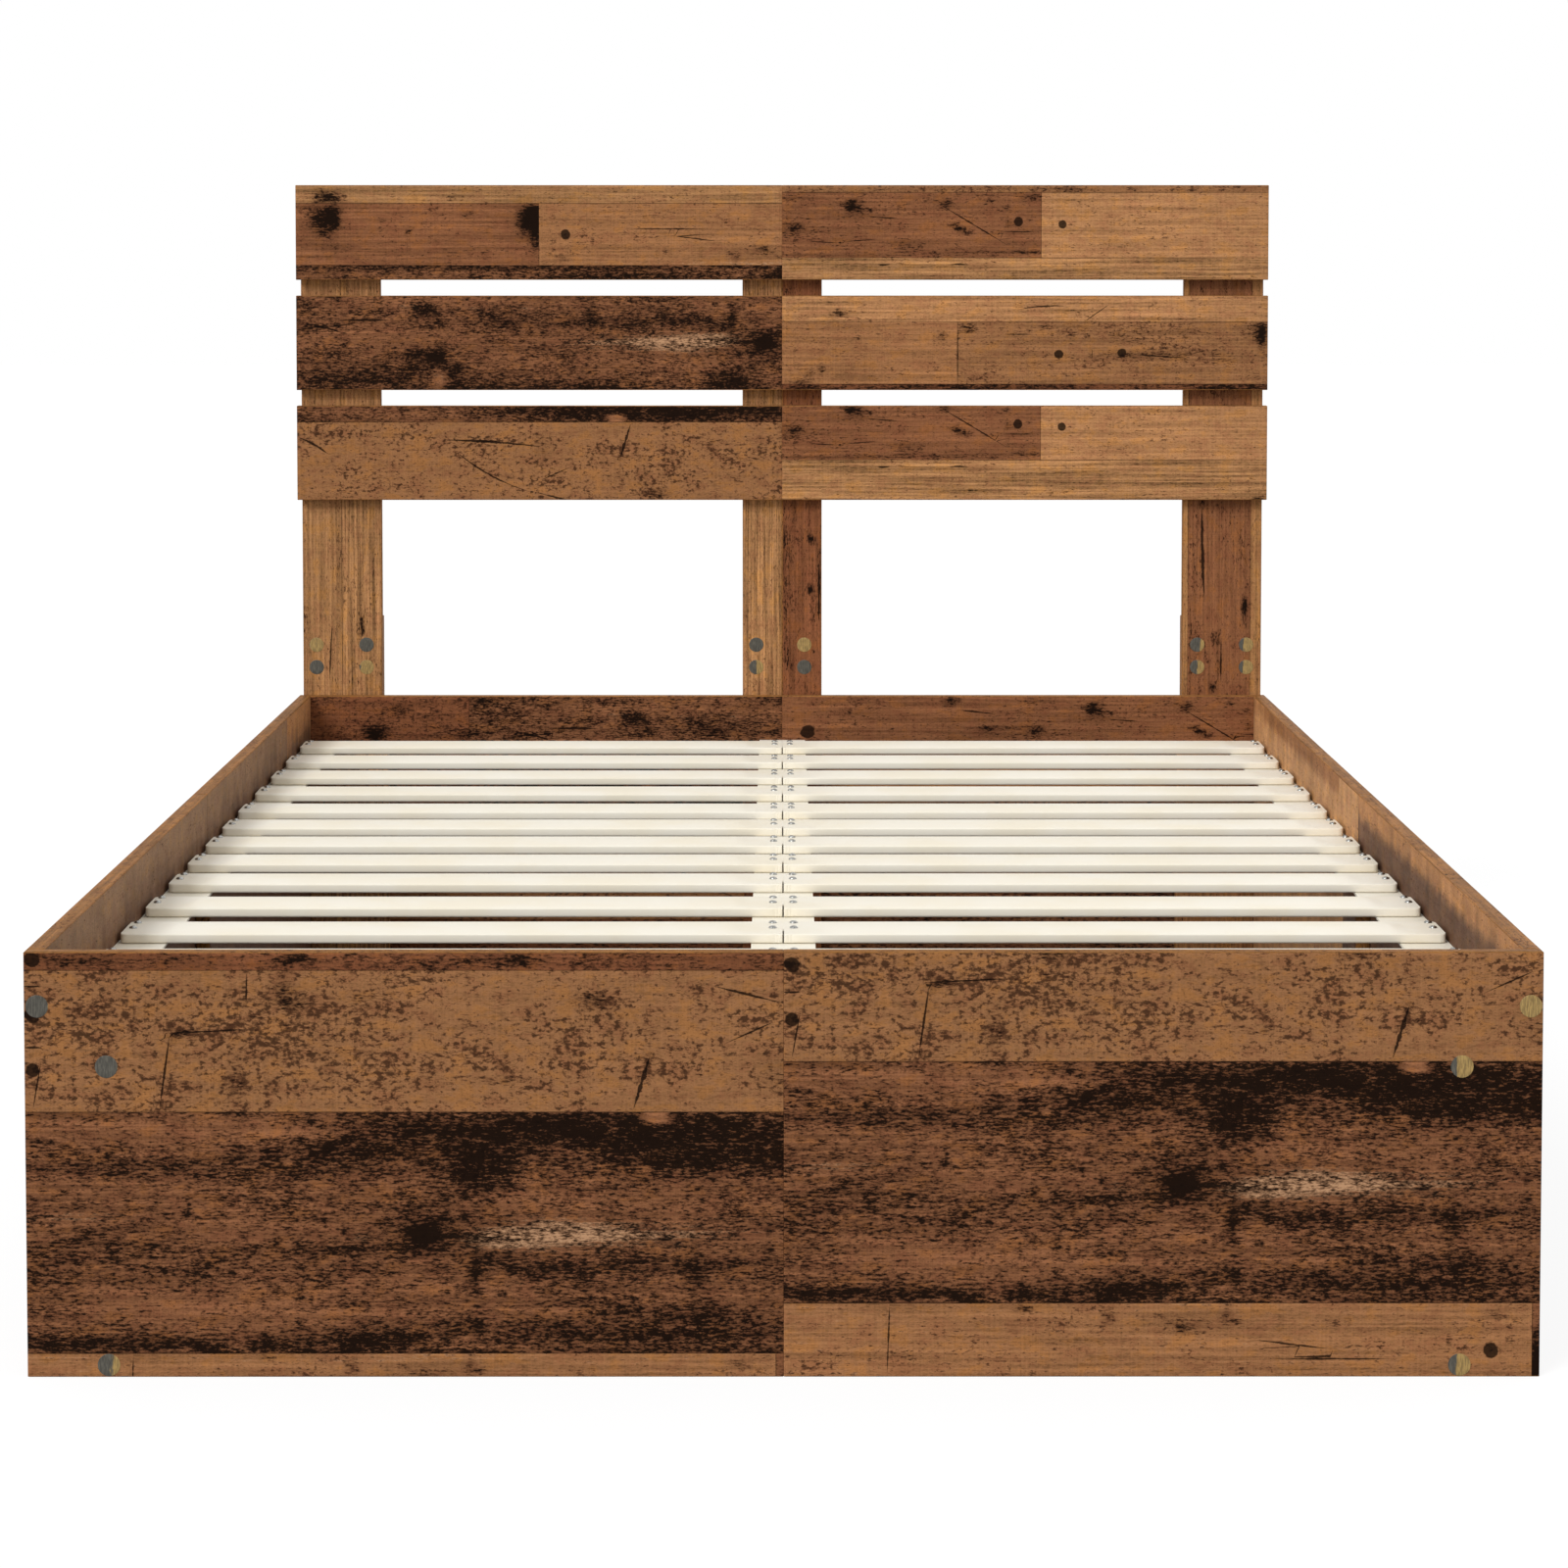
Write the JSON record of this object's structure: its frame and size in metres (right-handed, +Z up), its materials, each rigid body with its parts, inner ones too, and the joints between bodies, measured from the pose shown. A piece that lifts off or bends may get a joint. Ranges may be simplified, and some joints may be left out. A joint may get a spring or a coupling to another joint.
{
  "type": "bed frame",
  "caption": "Flat-pack bed frame with board panels in a plank decor, a slatted headboard of horizontal boards on posts, and split steel slats on side angles and a centre beam.",
  "frame": {"origin": "on the floor, in the middle of the frame's overall box", "axes": "+X to the bed's right seen from its foot, +Y from foot to head, +Z up"},
  "size_m": [1.235, 2.0606, 1.001],
  "materials": {
    "old_wood_decor": "matt printed decor of worn planks on board",
    "cream_steel": "satin powder coat"
  },
  "bodies": {
    "root": {"foot_panel_left": "old_wood_decor", "foot_panel_right": "old_wood_decor", "head_panel_left": "old_wood_decor", "head_panel_right": "old_wood_decor", "side_rail_left_front": "old_wood_decor", "side_rail_left_rear": "old_wood_decor", "side_rail_right_front": "old_wood_decor", "side_rail_right_rear": "old_wood_decor", "headboard_board_1_left": "old_wood_decor", "headboard_board_1_right": "old_wood_decor", "headboard_board_2_left": "old_wood_decor", "headboard_board_2_right": "old_wood_decor", "headboard_board_3_left": "old_wood_decor", "headboard_board_3_right": "old_wood_decor", "headboard_post_left": "old_wood_decor", "headboard_post_middle_left": "old_wood_decor", "headboard_post_middle_right": "old_wood_decor", "headboard_post_right": "old_wood_decor", "rear_upright_left": "old_wood_decor", "rear_upright_middle": "old_wood_decor", "rear_upright_right": "old_wood_decor", "corner_batten_foot_left": "old_wood_decor", "corner_batten_foot_right": "old_wood_decor", "corner_batten_head_left": "old_wood_decor", "corner_batten_head_right": "old_wood_decor", "centre_batten_foot": "old_wood_decor", "centre_batten_head": "old_wood_decor", "rail_splice_board_left": "old_wood_decor", "rail_splice_board_right": "old_wood_decor", "side_ledge_left": "cream_steel", "side_ledge_right": "cream_steel", "centre_beam": "cream_steel", "centre_leg_1": "cream_steel", "centre_leg_2": "cream_steel", "slat_01_left": "cream_steel", "slat_01_right": "cream_steel", "slat_02_left": "cream_steel", "slat_02_right": "cream_steel", "slat_03_left": "cream_steel", "slat_03_right": "cream_steel", "slat_04_left": "cream_steel", "slat_04_right": "cream_steel", "slat_05_left": "cream_steel", "slat_05_right": "cream_steel", "slat_06_left": "cream_steel", "slat_06_right": "cream_steel", "slat_07_left": "cream_steel", "slat_07_right": "cream_steel", "slat_08_left": "cream_steel", "slat_08_right": "cream_steel", "slat_09_left": "cream_steel", "slat_09_right": "cream_steel", "slat_10_left": "cream_steel", "slat_10_right": "cream_steel", "slat_11_left": "cream_steel", "slat_11_right": "cream_steel", "slat_12_left": "cream_steel", "slat_12_right": "cream_steel", "slat_13_left": "cream_steel", "slat_13_right": "cream_steel"}
  },
  "joints": []
}
